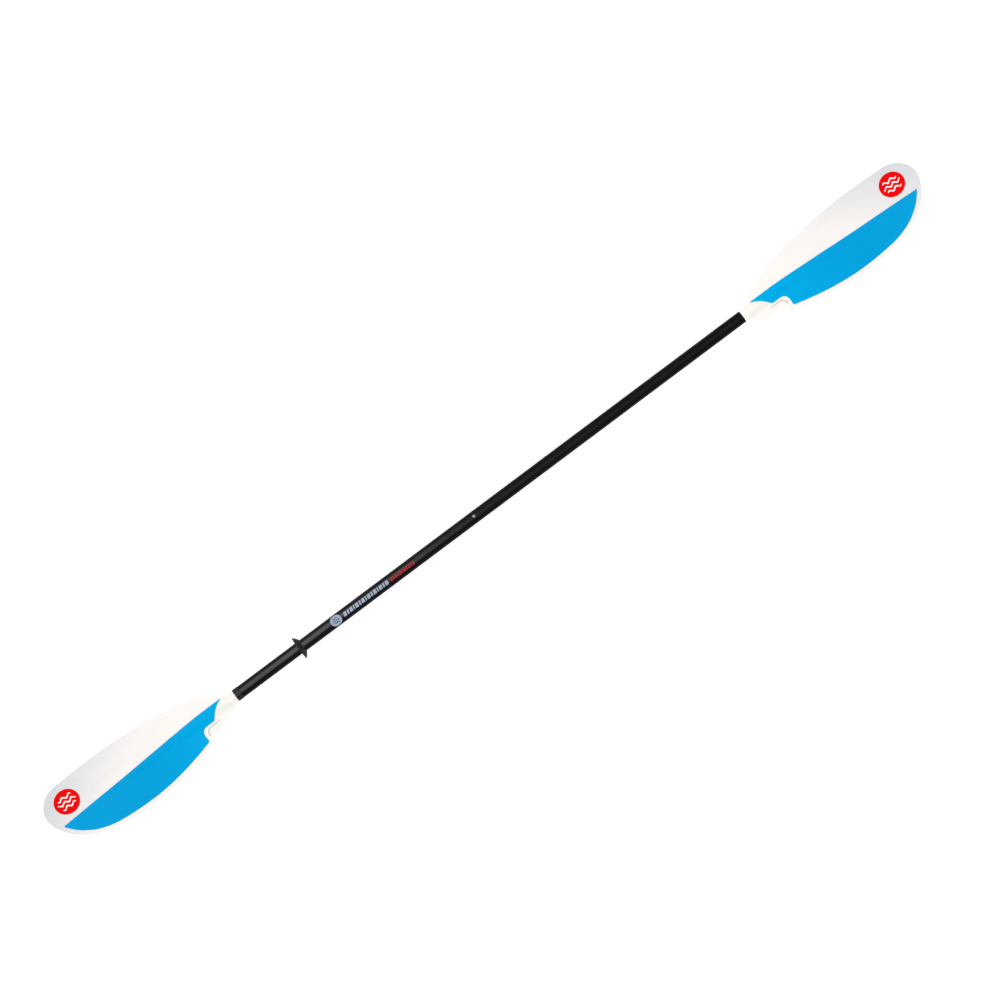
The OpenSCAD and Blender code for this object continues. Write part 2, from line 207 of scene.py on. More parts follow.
def tip_arc(x, start, p, q):
    """A tip's height as a share of that at its start. The powers set how full it is."""
    share = np.clip((x - start) / (BLADE_LEN - start), 0, 1)
    return np.maximum(1 - share**p, 0) ** (1 / q)


def resample(points, step):
    """The same line with its points about one step apart."""
    points = np.array(points, float)
    run = np.concatenate([[0], np.cumsum(np.hypot(*np.diff(points, axis=0).T))])
    at = np.linspace(0, run[-1], max(int(round(run[-1] / step)), 1) + 1)
    return np.stack([np.interp(at, run, points[:, 0]), np.interp(at, run, points[:, 1])], 1)


def arc(cx, cy, rx, ry, a, b, n):
    """Points of an ellipse from angle a to angle b, in degrees."""
    t = np.radians(np.linspace(a, b, n))
    return np.stack([cx + rx * np.cos(t), cy + ry * np.sin(t)], 1)


def outline_stretches(step):
    """The blade's edge from the neck's lower corner round the tip to its upper corner."""
    tooth = np.array([TOOTH_X - TOOTH_LEAN, -float(curve(LOWER, TOOTH_X))])
    x = np.linspace(0, TOOTH_X - NOTCH_R, 200)
    web_y = np.where(x < WEB[0][0], np.inf, curve(WEB, x))
    web = np.stack([x, -np.minimum(curve(LOWER, x), web_y)], 1)
    inner = arc(TOOTH_X - NOTCH_R, -float(curve(WEB, TOOTH_X)) - NOTCH_DROP, NOTCH_R, NOTCH_R,
                90, 0, 7)
    wall = np.array([inner[-1], tooth + TOOTH_SIDE])
    nose = arc(tooth[0] + TOOTH_R, tooth[1] + 0.9, TOOTH_R, TOOTH_R, 180, 255, 5)
    x = np.linspace(TOOTH_X + 1, LOWER_TURN, 300)
    low = np.stack([x, -curve(LOWER, x)], 1)
    swing = np.radians(np.linspace(0, 90, 400))
    x = LOWER_TURN + (BLADE_LEN - LOWER_TURN) * np.sin(swing)
    low_tip = np.stack([x, TIP_Y - LOWER_TIP_H * tip_arc(x, LOWER_TURN, *LOWER_TIP_POWERS)], 1)
    x = UPPER_TURN + (BLADE_LEN - UPPER_TURN) * np.sin(swing[::-1])
    top_tip = np.stack([x, TIP_Y + UPPER_TIP_H * tip_arc(x, UPPER_TURN, *UPPER_TIP_POWERS)], 1)
    x = np.linspace(UPPER_TURN, 0, 400)
    top = np.stack([x, curve(UPPER, x)], 1)
    corner = resample(np.concatenate([inner, wall[1:], nose]), step / 3)
    return [resample(web, step), corner, resample(np.concatenate([nose[-1:], low]), step),
            resample(low_tip, step), resample(top_tip, step), resample(top, step)]


def joined(stretches):
    """Several lines end to end, without their doubled points."""
    points = [stretches[0][0]]
    for line in stretches:
        for p in line:
            if np.hypot(*(p - points[-1])) > 0.05:
                points.append(p)
    return np.array(points)


def nearest(points, line):
    """Distance from each point to an open line, and the direction away from it."""
    a, b = line[:-1], line[1:]
    ab = b - a
    length2 = (ab**2).sum(1)
    best = np.full(len(points), np.inf)
    away = np.zeros((len(points), 2))
    block = 2000
    for i in range(0, len(points), block):
        p = points[i:i + block]
        t = np.clip(((p[:, None] - a) * ab).sum(2) / length2, 0, 1)
        gap = p[:, None] - (a + t[..., None] * ab)
        d = np.hypot(gap[..., 0], gap[..., 1])
        k = d.argmin(1)
        rows = np.arange(len(p))
        best[i:i + block] = d[rows, k]
        away[i:i + block] = gap[rows, k] / np.maximum(d[rows, k], 1e-9)[:, None]
    return best, away


def inside(points, loop):
    """Which points lie inside a closed loop."""
    x, y = points.T
    hit = np.zeros(len(points), bool)
    for (x1, y1), (x2, y2) in zip(loop, np.roll(loop, -1, 0)):
        if y1 != y2:
            hit ^= ((y1 > y) != (y2 > y)) & (x < (x2 - x1) * (y - y1) / (y2 - y1) + x1)
    return hit


# ---------------------------------------------------------------- blade surface
def middle_z(x):
    """The plate's centre line along the blade: it sags first and curls up at the tip."""
    t = x / BLADE_LEN
    return t * t * (CURL * t - SAG)


def rib_centre(x):
    """The rib's middle, which moves off the shaft's axis towards the tip."""
    return -RIB_SHIFT * ease(*RIB_SHIFT_RUN, x)


def plate_half(x):
    """Half of the plate's thickness."""
    return mix(ROOT_HALF, TIP_HALF, ease(*THIN_RUN, x))


def round_edge(half, d):
    """A plate's half thickness at distance d from its edge, which is rounded."""
    return half * np.sqrt(np.maximum(1 - (1 - np.minimum(d / half, 1)) ** 2, 0))


def step_gap(x, y):
    """Signed distance to the step round the notch's web, below 0 on the web."""
    qx, qy = x - (TOOTH_X - STEP_R), y - (STEP_Y - STEP_R)
    corner = np.hypot(np.maximum(qx, 0), np.maximum(qy, 0))
    return corner + np.minimum(np.maximum(qx, qy), 0) - STEP_R


def half_heights(x, y, d):
    """The plate's centre line, and the face's and the back's height from it. Each side is the
    plate with the rib on it, and a step lower in the notch, where the web is."""
    fall = (DIHEDRAL * ease(*DIHEDRAL_IN, x) * (1 - ease(*DIHEDRAL_OUT, x)) * np.abs(y)
            / DIHEDRAL_Y)
    d = np.maximum(d, 0)
    plate = round_edge(plate_half(x), d)

    # The rib is half round at the neck, and bell-shaped from there on.
    u = np.abs(y - rib_centre(x)) / curve(RIB_WIDTHS, x)
    half_round = np.sqrt(np.maximum(1 - u * u, 0))
    bell = np.exp(-RIB_BELL * u * u)
    bell_share = ease(0, BELL_START, x)
    flank = RIB_FLANK * mix(np.maximum(u - 1, 0), np.maximum(u - 0.6, 0) ** 2, bell_share)
    fillet = 9 * ease(0, 20, x) - 6 * ease(BELL_START, 120, x)

    # The web rises towards the neck, and the face has a groove along the step.
    s = step_gap(x, y)
    web_share = (1 - ease(-0.8, 1.3, s)) * (x > STEP_START - 4)
    rise = FADE_H * np.clip((STEP_FADE - x) / (STEP_FADE - STEP_START), 0, 1)
    web = round_edge(WEB_HALF, d) + rise
    groove = (GROOVE_DEPTH * np.exp(-(((s + 1.2) / GROOVE_WIDTH) ** 2)) * ease(48, 70, x)
              * np.minimum(d / 3, 1))

    sides = []
    for heights, tilt, depth in ((FACE_RIB, fall, groove), (BACK_RIB, -fall, 0)):
        high = curve(heights, x) - RIB_SINK * ease(RIB_END - 80, RIB_END + 10, x)
        rib = high * mix(half_round, bell, bell_share) - flank * np.maximum(high, 3)
        h = smooth_max(plate, rib + tilt, fillet)
        sides.append(mix(h, np.minimum(h, web - depth), web_share))
    return middle_z(x) - fall, *sides


def surface(points, d, away, side):
    """Heights and unit normals of the face, side 1, or the back, side -1."""
    def height(dx, dy):
        x, y = points[:, 0] + dx, points[:, 1] + dy
        centre, face, back = half_heights(x, y, d + away[:, 0] * dx + away[:, 1] * dy)
        return centre + face if side > 0 else centre - back

    reach = 0.04
    slope_x = (height(reach, 0) - height(-reach, 0)) / (2 * reach)
    slope_y = (height(0, reach) - height(0, -reach)) / (2 * reach)
    normals = np.stack([-slope_x, -slope_y, np.ones(len(points))], 1) * side
    return height(0, 0), normals / np.linalg.norm(normals, axis=1)[:, None]


def wave_loop(cx, cy, half, amplitude, length, thick, n):
    """One wave of a mark: a band along a sine, pointed at both ends."""
    u = np.linspace(-half, half, n)
    y = cy + amplitude * np.sin(2 * np.pi * u / length)
    t = thick / 2 * np.sqrt(np.maximum(1 - (u / half) ** 4, 0)) + 0.02
    return np.concatenate([np.stack([cx + u, y + t], 1), np.stack([cx + u, y - t], 1)[::-1]])


def panel_loop():
    """Outline of the blue panel."""
    x = np.linspace(PANEL_TOP[0][0], PANEL_TOP[-1][0], 120)
    top = np.stack([x, curve(PANEL_TOP, x)], 1)[::-1]
    x = np.linspace(PANEL_ROOT[0][0], PANEL_ROOT[-1][0], 20)
    root = np.stack([x, curve(PANEL_ROOT, x)], 1)
    r = PANEL_CORNER_R
    bend = arc(PANEL_CORNER[0] - r, PANEL_CORNER[1] - r, r, r, 90, 0, 12)
    r = PANEL_FOOT_R
    foot = arc(PANEL_RIM[0][0] + r, PANEL_RIM[0][1] + 2, r, r, 180, 250, 4)
    x = np.linspace(PANEL_RIM[0][0] + r + 1, PANEL_RIM[-1][0], 120)
    rim = np.stack([x, curve(PANEL_RIM, x)], 1)
    nose_y = (PANEL_TOP[0][1] + PANEL_ROOT[0][1]) / 2
    nose = arc(PANEL_TOP[0][0] + 0.6, nose_y, 0.9, 0.7, 110, 250, 5)
    line = np.concatenate([nose, root, bend, foot, rim, [PANEL_HEEL, PANEL_POINT], top])
    return joined([resample(line, PANEL_STEP)])


EDGE = joined(outline_stretches(EDGE_STEP))
PANEL = panel_loop()
DISC = arc(*BADGE, BADGE_RX, BADGE_RY, 0, 355, 72)
WAVES = [wave_loop(BADGE[0], BADGE[1] + v, half, *BADGE_WAVE_SHAPE) for v, half in BADGE_WAVES]


def edge_tangents():
    """Unit direction of the blade's edge at each of its points."""
    tangent = np.roll(EDGE, -1, 0) - np.roll(EDGE, 1, 0)
    tangent[0], tangent[-1] = EDGE[1] - EDGE[0], EDGE[-1] - EDGE[-2]
    return tangent / np.linalg.norm(tangent, axis=1)[:, None]


def edge_rings():
    """Rings of points inside the blade's edge, closer together where its section is round."""
    tangent = edge_tangents()
    inward = np.stack([-tangent[:, 1], tangent[:, 0]], 1)
    rings = []
    for share in RING_SHARES:
        offset = share * plate_half(EDGE[:, 0])
        ring = EDGE + inward * offset[:, None]
        d, _ = nearest(ring, EDGE)
        rings.append(ring[(d > 0.93 * offset) & (ring[:, 0] > 0.5)])
    return rings


def crease_rows():
    """Rows of points along the neck's sides, the rib's creases and the step by the notch."""
    rows = []
    x = np.arange(1.5, BELL_START, 1.5)
    for side in (-1, 1):
        rows += [np.stack([x, side * curve(RIB_WIDTHS, x) * u], 1) for u in NECK_ROWS]
    x = np.arange(BELL_START + 1, RIB_END - 4, 2.5)
    for side in (-1, 1):
        share = np.sqrt(np.log(np.maximum(curve(FACE_RIB, x) / plate_half(x), 1.1)) / RIB_BELL)
        crease = rib_centre(x) + side * curve(RIB_WIDTHS, x) * share
        rows += [np.stack([x, crease + shift], 1) for shift in CREASE_ROWS]
    for s in STEP_ROWS:
        bend = arc(TOOTH_X - STEP_R, STEP_Y - STEP_R, STEP_R + s, STEP_R + s, 90, 0, 19)
        x = np.arange(STEP_START, TOOTH_X - STEP_R, 2.0)
        rows += [np.stack([x, np.full(len(x), STEP_Y + s)], 1), bend]
    return rows


def grids(step):
    """Two staggered grids of points: a fine one at the root, and a wide one past it."""
    g, rows = ROOT_GRID, int(60 / ROOT_ROW)
    fine = np.array([(i * g + (j % 2) * g / 2, j * ROOT_ROW)
                     for i in range(int(ROOT_END / g) + 1) for j in range(-rows, rows)])
    fine = fine[(fine[:, 0] > 0.8) & (fine[:, 0] < ROOT_END)]
    g, rows = step, int(90 / step)
    wide = np.array([(ROOT_END + i * g + (j % 2) * g / 2, j * g * 0.87)
                     for i in range(int((BLADE_LEN - ROOT_END) / g) + 1)
                     for j in range(-rows, rows)])
    return np.concatenate([fine, wide])


def spread_points(grid_step, loops):
    """Free points over the blade: rings, rows and grids, all kept clear of the loops, and the
    grids' points kept clear of the others."""
    keep = []
    for points, off_edge, off_loop in ((np.concatenate(edge_rings() + crease_rows()), 0.05, 0.2),
                                       (grids(grid_step), 1.15 * ROOT_HALF, 0.8)):
        points = points[inside(points, EDGE)]
        d, _ = nearest(points, EDGE)
        points = points[d > off_edge]
        for loop in loops:
            d, _ = nearest(points, np.concatenate([loop, loop[:1]]))
            points = points[d > off_loop]
        keep.append(points)
    fixed, loose = keep
    cell = {}
    for p in fixed:
        cell.setdefault((int(p[0] // 2), int(p[1] // 2)), []).append(p)
    free = []
    for p in loose:
        i, j = int(p[0] // 2), int(p[1] // 2)
        near = [q for a in (-1, 0, 1) for b in (-1, 0, 1) for q in cell.get((i + a, j + b), [])]
        if all(math.hypot(*(p - q)) > 0.9 for q in near):
            free.append(p)
    return np.concatenate([fixed, np.array(free)])


def loop_edges(start, n):
    """Each point's number with the next one's, round a loop of n points."""
    return [(start + i, start + (i + 1) % n) for i in range(n)]


def flat_mesh(points, edges, snap):
    """Triangles in the plane that keep the edges, all facing up, with twice their areas and, for
    each vertex, the point that it comes from."""
    out = delaunay_2d_cdt([Vector(p) for p in points], edges, [], 0, snap)
    verts = np.array([tuple(v) for v in out[0]])
    tris = np.array([f for f in out[2] if len(f) == 3])
    a, b, c = (verts[tris[:, k]] for k in range(3))
    turn = (b[:, 0] - a[:, 0]) * (c[:, 1] - a[:, 1]) - (b[:, 1] - a[:, 1]) * (c[:, 0] - a[:, 0])
    tris[turn < 0] = tris[turn < 0][:, ::-1]
    return verts, tris, np.abs(turn), np.array([ids[0] if ids else -1 for ids in out[3]])


def triangulate(loops, free):
    """A triangle mesh with every loop as edges. The blade's edge and neck end come first."""
    across = np.cos(np.linspace(0, np.pi, NECK_POINTS + 2))[1:-1]
    border = np.concatenate([EDGE, np.stack([np.zeros(NECK_POINTS), NECK_R * across], 1)])
    points, edges = [], []
    count = 0
    for loop in [border] + loops:
        edges += loop_edges(count, len(loop))
        points.append(loop)
        count += len(loop)
    verts, tris, area, source = flat_mesh(np.concatenate(points + [free]), edges, 1e-4)
    tris = tris[inside(verts[tris].mean(1), border) & (area > 1e-7)]
    return verts, tris, source, len(EDGE), len(border)


def make_face(loops, grid_step, side):
    """The face, side 1, or the back, side -1: its mesh, its normals, and how near each point is
    to the rim and to the crease round the notch, which weighs the painted shade there."""
    verts, tris, source, n_edge, n_border = triangulate(loops, spread_points(grid_step, loops))
    d, away = nearest(verts, EDGE)
    z, normals = surface(verts, d, away, side)
    on_edge = (source >= 0) & (source < n_edge)
    neck_end = (source >= n_edge) & (source < n_border)
    centre, _, _ = half_heights(verts[:, 0], verts[:, 1], np.zeros(len(verts)))
    z = np.where(on_edge, centre, z)
    spot = np.where(on_edge)[0]
    tangent = edge_tangents()
    outward = np.stack([tangent[:, 1], -tangent[:, 0], np.zeros(len(EDGE))], 1)
    normals[spot] = outward[source[spot]]
    ring_z = side * np.sqrt(np.maximum(NECK_R**2 - verts[:, 1] ** 2, 0))
    z = np.where(neck_end, ring_z, z)
    round_normal = np.stack([np.zeros(len(verts)), verts[:, 1], ring_z], 1) / NECK_R
    normals = np.where(neck_end[:, None], round_normal, normals)
    # Painted shade: the crease value darkens the white along the step round the notch, standing in
    # for the shade in its groove. Only the face gets it.
    s = step_gap(verts[:, 0], verts[:, 1])
    crease = (np.exp(-(((s + 0.1) / GROOVE_WIDTH) ** 2)) * ease(50, 76, verts[:, 0])
              * np.minimum(d / 5, 1))
    return {"xy": verts, "z": z, "tris": tris, "normals": normals, "source": source,
            "rim": np.clip(1 - d / RIM_WIDTH, 0, 1), "crease": crease * (side > 0)}


FACE = make_face([PANEL, DISC] + WAVES, FACE_GRID, 1)
BACK = make_face([], BACK_GRID, -1)


# ---------------------------------------------------------------- materials
def srgb(r, g, b):
    """Linear colour of 0 to 255 screen values."""
    return tuple((c / 12.92 if c < 0.04045 else ((c + 0.055) / 1.055) ** 2.4)
                 for c in (r / 255, g / 255, b / 255)) + (1,)


class Paint:
    """A material's node tree, with short ways to add what most of the materials share."""

    def __init__(self, name, **sockets):
        self.material = bpy.data.materials.new(name)
        self.material.use_nodes = True
        self.tree = self.material.node_tree
        self.shader = self.tree.nodes["Principled BSDF"]
        self.where = self.add("ShaderNodeTexCoord").outputs["Object"]
        for socket, value in sockets.items():
            self.shader.inputs[socket.replace("_", " ")].default_value = value

    def add(self, kind, **settings):
        made = self.tree.nodes.new(kind)
        for key, value in settings.items():
            setattr(made, key, value)
        return made

    def wire(self, value, socket):
        """Links an output to a socket, or sets the socket's number."""
        if hasattr(value, "is_linked"):
            self.tree.links.new(value, socket)
        else:
            socket.default_value = value

    def noise(self, scale, detail=3, rough=0.5, shift=0.0):
        """Noise from 0 to 1. scale is per metre, one number or one for each axis."""
        size = scale if isinstance(scale, tuple) else (scale,) * 3
        place = self.add("ShaderNodeMapping")
        self.wire(self.where, place.inputs["Vector"])
        place.inputs["Scale"].default_value = size
        place.inputs["Location"].default_value = (shift, shift / 2, shift / 3)
        made = self.add("ShaderNodeTexNoise")
        made.inputs["Scale"].default_value = 1
        made.inputs["Detail"].default_value = detail
        made.inputs["Roughness"].default_value = rough
        self.wire(place.outputs["Vector"], made.inputs["Vector"])
        return made.outputs["Fac"]

    def remap(self, value, low, high, to_low=0.0, to_high=1.0):
        made = self.add("ShaderNodeMapRange")
        self.wire(value, made.inputs["Value"])
        for key, number in (("From Min", low), ("From Max", high), ("To Min", to_low),
                            ("To Max", to_high)):
            made.inputs[key].default_value = number
        return made.outputs["Result"]

    def math(self, operation, a, b=0.0):
        made = self.add("ShaderNodeMath", operation=operation)
        self.wire(a, made.inputs[0])
        self.wire(b, made.inputs[1])
        return made.outputs["Value"]

    def blend(self, share, a, b):
        made = self.add("ShaderNodeMix", data_type="RGBA")
        self.wire(share, made.inputs["Factor"])
        self.wire(a, made.inputs[6])
        self.wire(b, made.inputs[7])
        return made.outputs[2]

    def attribute(self, name):
        return self.add("ShaderNodeAttribute", attribute_name=name).outputs["Fac"]

    def along(self, lean=0.0):
        """Distance from mid-length along the shaft, in metres, plus a share of Y."""
        parts = self.add("ShaderNodeSeparateXYZ")
        self.wire(self.where, parts.inputs[0])
        across = self.math("MULTIPLY", parts.outputs["Y"], lean)
        return self.math("ADD", self.math("ABSOLUTE", parts.outputs["X"]), across)

    def colour(self, value):
        self.wire(value, self.shader.inputs["Base Color"])

    def roughness(self, value):
        self.wire(value, self.shader.inputs["Roughness"])

    def bumps(self, *layers):
        """Height layers, each (height output, depth in metres, strength)."""
        normal = None
        for height, depth, strength in layers:
            made = self.add("ShaderNodeBump")
            made.inputs["Distance"].default_value = depth
            made.inputs["Strength"].default_value = strength
            self.wire(height, made.inputs["Height"])
            if normal:
                self.wire(normal, made.inputs["Normal"])
            normal = made.outputs["Normal"]
        self.wire(normal, self.shader.inputs["Normal"])
        return self.material


def moulded_white():
    """Satin white nylon: warm at the root, with painted shade that greys the tip, flow marks along
    the blade, scuffs on its rim and painted shade in the crease round the notch."""
    p = Paint("moulded_white", Specular_IOR_Level=0.18)
    warm = p.blend(p.remap(p.along(), 0.70, 0.95), srgb(243, 240, 234), srgb(239, 234, 231))
    # Painted shade: the white greys towards the curled tip, more on its +Y side, standing in for
    # the shade that falls there.
    base = p.blend(p.remap(p.along(1.4), 1.02, 1.25), warm, srgb(205, 207, 211))
    flow = p.noise((9, 90, 90), 4, 0.6)
    base = p.blend(p.remap(flow, 0.35, 0.75, 0, 0.10), base, srgb(214, 208, 202))
    speck = p.noise(1400, 2, 0.6, 3.0)
    base = p.blend(p.remap(speck, 0.66, 0.78, 0, 0.16), base, srgb(190, 182, 172))
    scuff = p.math("MULTIPLY", p.remap(p.attribute("rim"), 0.72, 1.0),
                   p.remap(p.noise(240, 4, 0.7, 7.0), 0.5, 0.66))
    base = p.blend(p.math("MULTIPLY", scuff, 0.14), base, srgb(168, 164, 158))
    # Painted shade: the crease value darkens the white into the groove round the notch.
    base = p.blend(p.remap(p.attribute("crease"), 0.05, 1.0, 0, 0.85), base, srgb(204, 198, 194))
    p.colour(base)
    p.roughness(p.remap(p.noise(60, 4, 0.6, 1.0), 0.3, 0.7, 0.34, 0.48))
    return p.bumps((p.noise(900, 3, 0.6, 2.0), 0.0001, 0.35), (flow, 0.0002, 0.15),
                   (scuff, 0.0001, 0.25))


def printed_film(name, light, deep, worn):
    """Printed film: a colour that deepens towards the blade's tip, a faint mottle of the print,
    and fine scratches along the stroke."""
    p = Paint(name, Specular_IOR_Level=0.01)
    base = p.blend(p.remap(p.along(), 0.74, 0.98), light, deep)
    mottle = p.noise((30, 55, 55), 4, 0.65, 4.0)
    base = p.blend(p.remap(mottle, 0.35, 0.7, 0, 0.16), base, deep)
    scratch = p.remap(p.noise((14, 900, 900), 2, 0.5, 9.0), 0.68, 0.76)
    base = p.blend(p.math("MULTIPLY", scratch, 0.10), base, worn)
    dots = p.remap(p.noise(1600, 1, 0.5, 5.0), 0.62, 0.74, 0, 0.08)
    base = p.blend(dots, base, worn)
    p.colour(base)
    p.roughness(p.remap(p.noise(80, 4, 0.6, 6.0), 0.3, 0.7, 0.3, 0.44))
    return p.bumps((p.noise(700, 3, 0.6, 8.0), 0.0001, 0.3), (scratch, 0.00005, 0.3))


def anodised_tube():
    """Satin black anodised aluminium with draw lines along the tube and a few handling marks."""
    p = Paint("anodised_black", Specular_IOR_Level=0.066, Anisotropic=0.9)
    lines = p.noise((6, 1500, 1500), 2, 0.5)
    cloud = p.noise((12, 40, 40), 3, 0.6, 2.0)
    base = p.blend(p.remap(cloud, 0.3, 0.7), srgb(3, 3, 4), srgb(8, 7, 9))
    marks = p.remap(p.noise((180, 420, 420), 3, 0.6, 5.0), 0.70, 0.78)
    base = p.blend(p.math("MULTIPLY", marks, 0.25), base, srgb(92, 92, 96))
    p.colour(base)
    p.roughness(p.remap(lines, 0.3, 0.7, 0.21, 0.27))
    tangent = p.add("ShaderNodeTangent", direction_type="RADIAL", axis="X")
    p.wire(tangent.outputs["Tangent"], p.shader.inputs["Tangent"])
    return p.bumps((lines, 0.00003, 0.2), (p.noise(500, 2, 0.5, 3.0), 0.00003, 0.1))


def soft_black(name, dark, light, grain, rough_low, rough_high, shine=0.25):
    """Black rubber or vinyl: fine grain, dusty patches and a little bloom."""
    p = Paint(name, Specular_IOR_Level=shine)
    dust = p.noise(130, 5, 0.7)
    base = p.blend(p.remap(dust, 0.4, 0.75), dark, light)
    p.colour(base)
    p.roughness(p.remap(p.noise(grain / 3, 3, 0.6, 2.0), 0.3, 0.7, rough_low, rough_high))
    return p.bumps((p.noise(grain, 3, 0.6, 1.0), 0.00012, 0.5))


def turned_metal(name, dark, light, rough_low, rough_high, lines):
    """Bare metal with fine tool lines. lines is the noise's scale on each axis."""
    p = Paint(name, Metallic=1.0)
    grain = p.noise(lines, 2, 0.5)
    patch = p.noise(260, 4, 0.6, 3.0)
    p.colour(p.blend(p.remap(patch, 0.3, 0.7), dark, light))
    p.roughness(p.remap(grain, 0.3, 0.7, rough_low, rough_high))
    return p.bumps((grain, 0.00002, 0.3), (patch, 0.00005, 0.1))


def printed_ink(name, low, high):
    """Screen-printed ink on the tube, slightly worn through."""
    p = Paint(name, Specular_IOR_Level=0.06)
    worn = p.remap(p.noise((300, 900, 900), 4, 0.7, 2.0), 0.62, 0.74, 0, 0.35)
    base = p.blend(p.remap(p.noise(500, 3, 0.6), 0.3, 0.7), low, high)
    p.colour(p.blend(worn, base, srgb(60, 62, 68)))
    p.roughness(p.remap(p.noise(700, 3, 0.6, 4.0), 0.3, 0.7, 0.42, 0.6))
    return p.bumps((p.noise(1500, 2, 0.5, 1.0), 0.00004, 0.4))


WHITE = moulded_white()
BLUE = printed_film("film_blue", srgb(0, 170, 228), srgb(0, 156, 214), srgb(16, 172, 222))
RED = printed_film("film_red", srgb(241, 2, 3), srgb(232, 0, 1), srgb(242, 36, 30))
PALE = printed_film("film_white", srgb(250, 244, 242), srgb(240, 236, 236), srgb(200, 196, 196))
TUBE = anodised_tube()
VINYL = soft_black("vinyl_black", srgb(14, 13, 18), srgb(34, 33, 38), 1300, 0.42, 0.55, 0.16)
WASHER = soft_black("washer_black", srgb(5, 5, 6), srgb(14, 14, 15), 1300, 0.5, 0.65, 0.05)
RUBBER = soft_black("rubber_black", srgb(14, 14, 15), srgb(38, 36, 36), 1000, 0.55, 0.75, 0.16)
NYLON = soft_black("nylon_dark", srgb(44, 45, 48), srgb(62, 62, 66), 1800, 0.4, 0.55)
PIN_METAL = turned_metal("pin_metal", srgb(120, 121, 124), srgb(150, 150, 152), 0.35, 0.5,
                         (900, 900, 60))
SPRING_STEEL = turned_metal("spring_steel", srgb(150, 150, 154), srgb(186, 185, 184), 0.22, 0.36,
                            (30, 900, 900))
POLISHED = turned_metal("polished_steel", srgb(98, 98, 100), srgb(120, 120, 122), 0.28, 0.38,
                        (700, 700, 700))
INK_PALE = printed_ink("ink_pale", srgb(144, 158, 178), srgb(160, 174, 194))
INK_RED = printed_ink("ink_red", srgb(156, 24, 36), srgb(178, 34, 46))


# ---------------------------------------------------------------- meshes
def add_object(name, data):
    made = bpy.data.objects.new(name, data)
    bpy.context.scene.collection.objects.link(made)
    return made


def make_piece(name, verts, faces, body, materials, face_material=None, normals=None,
               marks=(), sharp=35):
    """A mesh piece in metres that rides on a body. verts are in millimetres. marks are named
    numbers for each point, for the material to read."""
    mesh = bpy.data.meshes.new(name)
    mesh.from_pydata([tuple(v) for v in np.asarray(verts, float) * MM], [],
                     [tuple(int(i) for i in f) for f in faces])
    for m in materials:
        mesh.materials.append(m)
    if face_material is not None:
        mesh.polygons.foreach_set("material_index", np.asarray(face_material, np.int32))
    for mark, values in marks:
        mesh.attributes.new(mark, "FLOAT", "POINT").data.foreach_set(
            "value", np.asarray(values, np.float32))
    mesh.shade_smooth()
    if normals is None:
        mesh.set_sharp_from_angle(angle=math.radians(sharp))
    else:
        mesh.normals_split_custom_set_from_vertices([tuple(n) for n in normals])
    mesh.update()
    piece = add_object(name, mesh)
    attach(piece, body)
    return piece


def placed(points, faces, normals, left):
    """Blade points moved to the right blade's place, or mirrored to the left one's."""
    points = np.array(points, float) + (TUBE_END, 0, 0)
    normals = np.array(normals, float)
    faces = [tuple(f) for f in faces]
    if left:
        points[:, 0] *= -1
        normals[:, 0] *= -1
        faces = [f[::-1] for f in faces]
    return points, faces, normals


def blade_skin():
    """Face and back as one sheet, open at the neck: points, normals, triangles, the numbers that
    the white reads, and the loop of points round the opening."""
    n_edge = len(EDGE)
    n_border = n_edge + NECK_POINTS
    own = (BACK["source"] < 0) | (BACK["source"] >= n_edge)
    face_at = {s: i for i, s in enumerate(FACE["source"]) if 0 <= s < n_border}
    number = np.zeros(len(BACK["xy"]), int)
    number[own] = len(FACE["xy"]) + np.arange(own.sum())
    number[~own] = [face_at[s] for s in BACK["source"][~own]]
    back_at = {s: number[i] for i, s in enumerate(BACK["source"]) if n_edge <= s < n_border}
    verts = np.concatenate([np.column_stack([FACE["xy"], FACE["z"]]),
                            np.column_stack([BACK["xy"], BACK["z"]])[own]])
    normals = np.concatenate([FACE["normals"], BACK["normals"][own]])
    faces = [tuple(t) for t in FACE["tris"]] + [tuple(number[t][::-1]) for t in BACK["tris"]]
    # crease carries the painted shade round the notch, and rim carries the scuffs.
    marks = {name: np.concatenate([FACE[name], BACK[name][own]]) for name in ("rim", "crease")}
    neck = range(n_edge, n_border)
    loop = ([face_at[n_edge - 1]] + [face_at[k] for k in neck] + [face_at[0]]
            + [back_at[k] for k in reversed(neck)])
    return verts, normals, faces, marks, loop


def blade_shell():
    """The whole blade as one closed mesh: the skin, and the tang with its keyway."""
    skin, skin_normals, faces, marks, ring = blade_skin()
    verts, normals = [skin], [skin_normals]
    n, count = len(ring), len(skin)
    unit = skin[ring][:, 1:] / NECK_R
    key = (np.abs(unit[:, 0]) * TANG_R < KEYWAY_HALF) & (unit[:, 1] < 0)
    for x, r, keyed in ((0, TANG_R, False), (-KEYWAY_START, TANG_R, False),
                        (-KEYWAY_START - 0.5, TANG_R, True), (2 - TANG_LEN, TANG_R, True),
                        (-TANG_LEN, TANG_R - 1, True)):
        yz = unit * r
        if keyed:
            yz[key, 1] = KEYWAY_FLOOR
        verts.append(np.column_stack([np.full(n, x), yz]))
        normals.append(np.column_stack([np.zeros(n), unit]))
        after = list(range(count, count + n))
        faces += [(ring[k], ring[j], after[j], after[k]) for k, j in loop_edges(0, n)]
        ring = after
        count += n
    verts.append([[-TANG_LEN, 0, 0]])
    normals.append([[-1, 0, 0]])
    faces += [(ring[k], ring[j], count) for k, j in loop_edges(0, n)]
    verts = np.concatenate(verts)
    marks = [(name, np.concatenate([values, np.zeros(len(verts) - len(skin))]))
             for name, values in marks.items()]
    return verts, faces, np.concatenate(normals), marks


